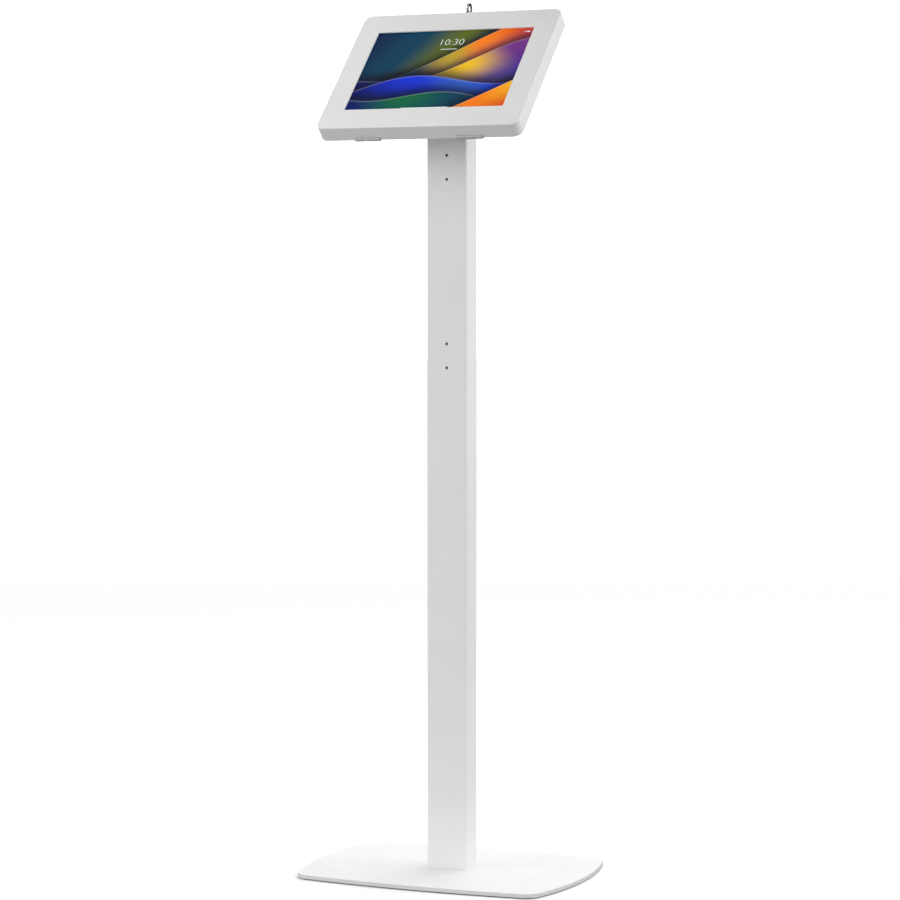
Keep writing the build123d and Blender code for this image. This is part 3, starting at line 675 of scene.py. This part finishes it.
def tube_mesh(name, path, radius, ring=8):
    """A tube along a closed path of points; radius may be a function of the point's number."""
    mesh = bpy.data.meshes.new(name)
    shape = bmesh.new()
    count = len(path)
    rings = []
    for number, point in enumerate(path):
        ahead = (path[(number + 1) % count] - path[number - 1]).normalized()
        side = ahead.orthogonal() if not rings else side - ahead * side.dot(ahead)
        side = side.normalized()
        up = ahead.cross(side)
        size = radius(number) if callable(radius) else radius
        rings.append([
            shape.verts.new(point + (side * math.cos(turn) + up * math.sin(turn)) * size)
            for turn in (2 * math.pi * step / ring for step in range(ring))
        ])
    for number in range(count):
        first, second = rings[number], rings[(number + 1) % count]
        shift = 0
        if number == count - 1:
            shift = min(range(ring), key=lambda step: (second[step].co - first[0].co).length)
        for step in range(ring):
            shape.faces.new((
                first[step], first[(step + 1) % ring],
                second[(step + 1 + shift) % ring], second[(step + shift) % ring],
            ))
    bmesh.ops.recalc_face_normals(shape, faces=shape.faces)
    shape.to_mesh(mesh)
    shape.free()
    mesh.shade_smooth()
    return mesh


def round_outline(radius, steps):
    """Points of a circle, counter-clockwise."""
    turns = [2 * math.pi * step / steps for step in range(steps)]
    return [(radius * math.cos(turn), radius * math.sin(turn)) for turn in turns]


def circle_path(centre, first, second, radius, steps):
    """Points of a circle in the plane of two directions."""
    return [centre + first * x + second * y for x, y in round_outline(radius, steps)]


def rounded_outline(half_width, half_height, corner, steps=8):
    """Points of a rounded rectangle, counter-clockwise, each kept once."""
    points = []
    for quarter, (sign_x, sign_y) in enumerate(((1, 1), (-1, 1), (-1, -1), (1, -1))):
        centre_x, centre_y = sign_x * (half_width - corner), sign_y * (half_height - corner)
        for step in range(steps + 1):
            turn = math.pi / 2 * (quarter + step / steps)
            points.append((centre_x + corner * math.cos(turn), centre_y + corner * math.sin(turn)))
    nearest = corner / 1000
    return [point for number, point in enumerate(points) if math.dist(point, points[number - 1]) > nearest]


def slab_mesh(name, outline, centre, first, second, thickness):
    """A flat slab of a 2-D outline that stands up from a plane, with a softened top edge."""
    mesh = bpy.data.meshes.new(name)
    shape = bmesh.new()
    out = first.cross(second)
    vertices = [shape.verts.new(centre + first * x + second * y) for x, y in outline]
    face = shape.faces.new(vertices)
    raised = bmesh.ops.extrude_face_region(shape, geom=[face])
    top = [item for item in raised["geom"] if isinstance(item, bmesh.types.BMVert)]
    bmesh.ops.translate(shape, verts=top, vec=out * thickness)
    rim = [edge for edge in shape.edges if all(vertex in top for vertex in edge.verts)]
    bmesh.ops.bevel(shape, geom=rim, offset=thickness * 0.3, segments=2, affect="EDGES", profile=0.5)
    bmesh.ops.recalc_face_normals(shape, faces=shape.faces)
    shape.to_mesh(mesh)
    shape.free()
    return mesh


def join_meshes(name, meshes):
    """One mesh of several."""
    joined = bpy.data.meshes.new(name)
    shape = bmesh.new()
    for mesh in meshes:
        shape.from_mesh(mesh)
    shape.to_mesh(joined)
    shape.free()
    if any(polygon.use_smooth for mesh in meshes for polygon in mesh.polygons):
        joined.shade_smooth()
    return joined


# -------------------------------------------------------------------- operators
class KIOSK_OT_sheet_metal(bpy.types.Operator):
    """Powder-coat the base, post, plates, cover and hinge leaves, with painted shade on the hinge leaves and on
    the base's upright edges
    """

    bl_idname = "kiosk.sheet_metal"
    bl_label = "Sheet metal"

    def execute(self, context):
        paint = context.scene.kiosk_paint
        painted = nodes_in("painted_steel")
        leaves = [node for node in painted if "hinge_leaf" in node]
        coat(painted, powder_coat(paint))
        # The base's upright edges carry painted shade as well as scuffs.
        coat(["base_plate"], powder_coat(paint, "powder_coat_on_base", scuff_and_upright_shade=0.2))
        # The hinge leaves get a darker copy of the coat: painted shade for the shadow they sit in under the
        # enclosure.
        coat(leaves, powder_coat(paint, "powder_coat_on_hinges", depth=0.58))
        round_edges(["head_plate", *leaves], paint.edge_round)
        return {"FINISHED"}


class KIOSK_OT_weld(bpy.types.Operator):
    """Run the weld bead round the post where it meets its head plate"""

    bl_idname = "kiosk.weld"
    bl_label = "Head weld"

    ripple_height = 0.08  # of the bead's radius
    sunk = 0.25  # of the bead's radius, below the plate

    def execute(self, context):
        welds = context.scene.kiosk_welds
        post_low, post_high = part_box("post_channel")
        plate = span("head_plate")[0].z
        path = [
            at(point.x, self.slope_of(point.y, plate), plate - welds.bead * self.sunk)
            for point in self.round_post((post_high - post_low) / 2, welds.ripple / 2)
        ]
        mesh = tube_mesh(
            "head_weld", path, lambda number: welds.bead * (1 + self.ripple_height * (number % 2)), ring=10,
        )
        paint = NODES["post_channel"].data.materials[0]
        new_piece("head_weld", mesh, paint, "stand")
        return {"FINISHED"}

    @staticmethod
    def round_post(half, pitch):
        """Points round the post's section, about a pitch apart."""
        corners = [Vector((x * half.x, y * half.y)) for x, y in ((1, 1), (-1, 1), (-1, -1), (1, -1))]
        points = []
        for start, end in zip(corners, corners[1:] + corners[:1]):
            steps = round((end - start).length / pitch)
            points += [start.lerp(end, step / steps) for step in range(steps)]
        return points

    @staticmethod
    def slope_of(y, outward):
        """Distance up the slope of the point at y on a plane parallel to the screen."""
        return (y - OUTWARD.y * outward) / SLOPE.y


class KIOSK_OT_fasteners(bpy.types.Operator):
    """Plate the screws, nuts, rivets, pins and the lock strike"""

    bl_idname = "kiosk.fasteners"
    bl_label = "Fasteners"

    def execute(self, context):
        coat(nodes_in("plated_steel"), plated_steel(context.scene.kiosk_metals))
        return {"FINISHED"}


class KIOSK_OT_lock_and_key(bpy.types.Operator):
    """Plate the lock and the key, and raise the rims of the key's bow and the lock's face"""

    bl_idname = "kiosk.lock_and_key"
    bl_label = "Lock and key"

    rim_inset = 2.4  # from the bow's edge, in rim heights

    def execute(self, context):
        metals = context.scene.kiosk_metals
        plate = nickel(metals)
        coat(nodes_in("nickel"), plate)
        self.bow_rims(metals, plate)
        self.face_ring(metals, plate)
        return {"FINISHED"}

    def bow_rims(self, metals, plate):
        low, high = span("key")
        bow_radius = (high.z - low.z) / 2
        rims = []
        for side in (low.x, high.x):
            centre = at(side, high.y - bow_radius, (low.z + high.z) / 2)
            path = circle_path(centre, SLOPE, OUTWARD, bow_radius - self.rim_inset * metals.rim, 64)
            rims.append(tube_mesh("rim", path, metals.rim))
        new_piece("key_bow_rims", join_meshes("key_bow_rims", rims), plate, "key")

    @staticmethod
    def face_ring(metals, plate):
        face_low, face_high = span("lock_body")
        plug_low, plug_high = span("lock_plug")
        centre = at(0, face_high.y, Vector(JOINTS["lock_turn"]["pos_m"]).dot(OUTWARD))
        between = ((face_high.x - face_low.x) + (plug_high.x - plug_low.x)) / 4
        path = circle_path(centre, ACROSS, OUTWARD, between, 56)
        ring = tube_mesh("lock_face_ring", path, metals.rim)
        new_piece("lock_face_ring", ring, plate, "cover")


class KIOSK_OT_soft_parts(bpy.types.Operator):
    """Finish the rubber, moulded plastic and foam parts"""

    bl_idname = "kiosk.soft_parts"
    bl_label = "Rubber, plastic and foam"

    def execute(self, context):
        coat(nodes_in("black_rubber"), rubber())
        coat(nodes_in("black_plastic", "display"), moulded_plastic())
        coat(nodes_in("foam"), closed_foam())
        return {"FINISHED"}


class KIOSK_OT_tablet(bpy.types.Operator):
    """Finish the tablet, outside and in, and add its camera ring, lens, and black discs painted as the shade in
    its speaker holes
    """

    bl_idname = "kiosk.tablet"
    bl_label = "Tablet"

    ring_radius = 0.0005  # of the ring's own section
    ring_lift = 0.0002
    lens_radius = 0.0011
    lens_inset = 0.0052  # from the glass's left edge
    lens_depth = 0.00006
    hole_radius = 0.0006
    hole_depth = 0.00008
    hole_pitch = 0.0021
    holes_in_row = 9
    row_offset = 0.058  # from the tablet's middle to the middle of a row of holes
    button_room = 0.024  # by which the row beside the buttons stands nearer the middle

    def execute(self, context):
        shell = anodised(context.scene.kiosk_metals)
        lens = lens_glass()
        coat(nodes_in("anodised_aluminium"), shell)
        coat(nodes_in("camera_glass"), lens)
        coat(nodes_in("cell_wrap"), cell_foil())
        coat(nodes_in("circuit_board"), circuit_board())
        self.camera_ring(shell)
        self.front_camera(lens)
        self.speakers()
        return {"FINISHED"}

    def camera_ring(self, shell):
        low, high = span("rear_camera")
        middle = (low + high) / 2
        centre = at(middle.x, middle.y, low.z + self.ring_lift)
        path = circle_path(centre, ACROSS, SLOPE, (high.x - low.x) / 2, 48)
        ring = tube_mesh("rear_camera_ring", path, self.ring_radius)
        new_piece("rear_camera_ring", ring, shell, "stand")

    def front_camera(self, lens):
        centre = at(GLASS_LOW.x + self.lens_inset, GLASS_MIDDLE.y, GLASS_HIGH.z)
        outline = round_outline(self.lens_radius, 32)
        mesh = slab_mesh("front_camera", outline, centre, ACROSS, SLOPE, self.lens_depth)
        new_piece("front_camera", mesh, lens, "stand")

    def speakers(self):
        # Black discs on the edges, standing proud of the shell: painted shade in place of hollow speaker holes.
        low, high = span("tablet_body")
        middle = (low + high) / 2
        outline = round_outline(self.hole_radius, 16)
        holes = []
        for side, edge in ((-1, low.x), (1, high.x)):
            for end in (-1, 1):
                row = middle.y + end * self.row_offset
                if side > 0 and end > 0:
                    row -= self.button_room
                for number in range(self.holes_in_row):
                    slope = row + (number - (self.holes_in_row - 1) / 2) * self.hole_pitch
                    centre = at(edge, slope, middle.z)
                    holes.append(slab_mesh("hole", outline, centre, SLOPE * side, OUTWARD, self.hole_depth))
        black = NODES["display_panel"].data.materials[0]
        new_piece("speaker_holes", join_meshes("speaker_holes", holes), black, "stand")


class KIOSK_OT_screen(bpy.types.Operator):
    """Light the display and lay the clock, the marks and the home bar over its picture"""

    bl_idname = "kiosk.screen"
    bl_label = "Screen"

    ink_lift = 0.00003
    ink_depth = 0.00004
    em_per_digit = 1.37  # font size for a digit one metre tall
    stroke_thinning = -0.022  # of the font size
    clock_up = 0.345  # of the lit height, from its middle
    date_line_up = 0.26
    home_bar_up = 0.0058  # from the lit part's lower edge
    bar_pitch = 0.0011
    bar_growth = 0.00025  # from half of one signal bar's height to the next

    def execute(self, context):
        screen = context.scene.kiosk_screen
        coat(nodes_in("cover_glass"), lit_screen(screen))
        ink = glowing_ink(screen)
        self.clock(screen, ink)
        self.marks(screen, ink)
        return {"FINISHED"}

    def on_glass(self, across, up):
        """A point just proud of the glass, from the screen's middle."""
        return at(GLASS_MIDDLE.x + across, GLASS_MIDDLE.y + up, GLASS_HIGH.z + self.ink_lift)

    def clock(self, screen, ink):
        font_size = screen.clock_height * self.em_per_digit
        words = bpy.data.curves.new("clock", "FONT")
        words.body = screen.clock
        words.align_x = "CENTER"
        words.align_y = "CENTER"
        words.size = 1.0
        words.extrude = self.ink_depth / 2 / font_size
        words.resolution_u = 8
        words.offset = self.stroke_thinning
        holder = bpy.data.objects.new("clock_words", words)
        bpy.context.scene.collection.objects.link(holder)
        bpy.context.view_layer.update()
        mesh = bpy.data.meshes.new_from_object(holder.evaluated_get(bpy.context.evaluated_depsgraph_get()))
        bpy.data.objects.remove(holder)
        place = Matrix(ENCLOSURE_AXES).transposed().to_4x4()
        place.translation = self.on_glass(0, screen.height * self.clock_up)
        mesh.transform(place @ Matrix.Scale(font_size, 4))
        mesh.name = "clock"
        new_piece("clock", mesh, ink, "stand")

    def mark(self, half_width, half_height, corner, across, up, steps=8):
        """A rounded bar of ink on the glass."""
        outline = rounded_outline(half_width, half_height, corner, steps)
        return slab_mesh("mark", outline, self.on_glass(across, up), ACROSS, SLOPE, self.ink_depth)

    def marks(self, screen, ink):
        right, top = screen.width / 2, screen.height / 2
        home_bar = self.mark(0.034, 0.0006, 0.0006, 0, self.home_bar_up - top)
        date_line = self.mark(0.012, 0.0005, 0.0005, 0, screen.height * self.date_line_up)
        signal = [
            self.mark(
                0.00035, 0.0004 + self.bar_growth * number, 0.0003,
                right - 0.0145 + self.bar_pitch * number, top - 0.0085 + self.bar_growth * number, steps=3,
            )
            for number in range(4)
        ]
        battery = self.mark(0.0019, 0.0009, 0.0004, right - 0.0082, top - 0.0081, steps=4)
        mesh = join_meshes("screen_marks", [home_bar, date_line, *signal, battery])
        new_piece("screen_marks", mesh, ink, "stand")


class KIOSK_OT_studio(bpy.types.Operator):
    """Set up the floor, the light and the camera"""

    bl_idname = "kiosk.studio"
    bl_label = "Studio"

    floor_radius = 30.0
    card_drop = 0.0005  # of the bounce card below the floor
    band_radius = 3.4
    band_heights = (0.95, 1.85)
    softboxes = (
        {"name": "overhead", "place": (0.3, 1.6, 3.2), "target": (0, 0, 0.2), "size": 2.0},
        {"name": "side", "place": (1.0, 0.35, 1.35), "target": (0, 0, 1.0), "size": 0.5},
        {"name": "front", "place": (-2.3, -1.5, 1.5), "target": (0, 0, 1.0), "size": 1.0},
    )
    flags = (
        {"middle": (0.36, -0.25, 1.48), "width": 0.6, "depth": 0.6},
        {"middle": (0.085, 0.50, 1.75), "width": 0.8, "depth": 0.45},
    )

    def execute(self, context):
        studio = context.scene.kiosk_studio
        self.disc("floor", 0.0, studio_floor(studio), seen=True)
        self.disc("bounce_card", -self.card_drop, bounce_card(studio), seen=False)
        self.world(context.scene, studio)
        for box in self.softboxes:
            self.softbox(power=getattr(studio, box["name"]), **box)
        self.dark_band()
        for board in self.flags:
            self.flag(**board)
        self.camera(context.scene, studio)
        context.scene.view_settings.view_transform = "Standard"
        return {"FINISHED"}

    def disc(self, name, height, material, seen):
        """A floor that either the camera sees or only the light does."""
        mesh = bpy.data.meshes.new(name)
        shape = bmesh.new()
        outline = round_outline(self.floor_radius, 96)
        shape.faces.new([shape.verts.new((x, y, height)) for x, y in outline])
        self.stand(mesh, shape, material, camera=seen, diffuse=not seen, glossy=not seen, shadow=not seen)

    def world(self, scene, studio):
        world = bpy.data.worlds.new("studio")
        world.use_nodes = True
        sky = Shading(world.node_tree, "Generated")
        left_to_right = sky.along(ACROSS).ramp(-1.0, 1.0, studio.left_fill, studio.right_fill)
        height = sky.along(Vector((0, 0, 1))).ramp(0.15, 0.95, 1.0, studio.zenith)
        background = world.node_tree.nodes["Background"]
        sky.feed(background.inputs["Color"], (1, 1, 1))
        sky.feed(background.inputs["Strength"], left_to_right * height)
        scene.world = world

    @staticmethod
    def softbox(name, place, target, size, power):
        light = bpy.data.lights.new(name, "AREA")
        light.shape = "SQUARE"
        light.size = size
        light.energy = power
        lamp = bpy.data.objects.new(name, light)
        lamp.location = place
        lamp.rotation_euler = (Vector(target) - Vector(place)).to_track_quat("-Z", "Y").to_euler()
        lamp.visible_camera = False
        bpy.context.scene.collection.objects.link(lamp)

    def dark_band(self):
        """Black cloth round the studio that only reflections see, to give bright metal its dark side."""
        mesh = bpy.data.meshes.new("dark_band")
        shape = bmesh.new()
        foot, head = (
            [shape.verts.new((x, y, height)) for x, y in round_outline(self.band_radius, 96)]
            for height in self.band_heights
        )
        for step in range(len(foot)):
            shape.faces.new((foot[step - 1], foot[step], head[step], head[step - 1]))
        self.stand(mesh, shape, black_cloth(), camera=False, diffuse=False, glossy=True, shadow=False)

    def flag(self, middle, width, depth):
        """A black board held level above the enclosure, which shades it gently."""
        mesh = bpy.data.meshes.new("flag")
        shape = bmesh.new()
        corners = ((-0.5, -0.5), (0.5, -0.5), (0.5, 0.5), (-0.5, 0.5))
        shape.faces.new([
            shape.verts.new(Vector(middle) + Vector((x * width, y * depth, 0))) for x, y in corners
        ])
        self.stand(mesh, shape, black_cloth(), camera=False, diffuse=True, glossy=False, shadow=True)

    @staticmethod
    def stand(mesh, shape, material, camera, diffuse, glossy, shadow):
        """Puts a floor, board or cloth in the studio, met only by the kinds of ray named."""
        shape.to_mesh(mesh)
        shape.free()
        mesh.materials.append(material)
        board = bpy.data.objects.new(mesh.name, mesh)
        bpy.context.scene.collection.objects.link(board)
        board.visible_camera = camera
        board.visible_diffuse = diffuse
        board.visible_glossy = glossy
        board.visible_shadow = shadow

    @staticmethod
    def camera(scene, studio):
        ahead = Vector((-math.sin(studio.azimuth), math.cos(studio.azimuth), 0))
        right = Vector((math.cos(studio.azimuth), math.sin(studio.azimuth), 0))
        lens = bpy.data.cameras.new("camera")
        lens.lens = studio.focal_length
        lens.sensor_width = 36.0
        camera = bpy.data.objects.new("camera", lens)
        camera.location = ahead * -studio.distance + right * studio.aside + Vector((0, 0, studio.height))
        view = ahead * math.cos(studio.pitch) - Vector((0, 0, math.sin(studio.pitch)))
        camera.rotation_euler = view.to_track_quat("-Z", "Y").to_euler()
        scene.collection.objects.link(camera)
        scene.camera = camera


STEPS = (
    KIOSK_OT_sheet_metal,
    KIOSK_OT_weld,
    KIOSK_OT_fasteners,
    KIOSK_OT_lock_and_key,
    KIOSK_OT_soft_parts,
    KIOSK_OT_tablet,
    KIOSK_OT_screen,
    KIOSK_OT_studio,
)


class KIOSK_PT_panel(bpy.types.Panel):
    """Every step of the kiosk's finishing, with its settings"""

    bl_label = "Touchscreen kiosk"
    bl_idname = "KIOSK_PT_panel"
    bl_space_type = "VIEW_3D"
    bl_region_type = "UI"
    bl_category = "Kiosk"

    def draw(self, context):
        for step in STEPS:
            self.layout.operator(step.bl_idname)
        for name, group in SETTINGS.items():
            box = self.layout.box()
            box.label(text=name.replace("kiosk_", "").title())
            for field in group.__annotations__:
                box.prop(getattr(context.scene, name), field)


CLASSES = (*SETTINGS.values(), *STEPS, KIOSK_PT_panel)


def register():
    for made in CLASSES:
        bpy.utils.register_class(made)
    for name, group in SETTINGS.items():
        setattr(bpy.types.Scene, name, PointerProperty(type=group))


def unregister():
    for name in SETTINGS:
        delattr(bpy.types.Scene, name)
    for made in reversed(CLASSES):
        bpy.utils.unregister_class(made)


def main():
    register()
    for step in STEPS:
        group, action = step.bl_idname.split(".")
        getattr(getattr(bpy.ops, group), action)()


if __name__ == "__main__":
    main()
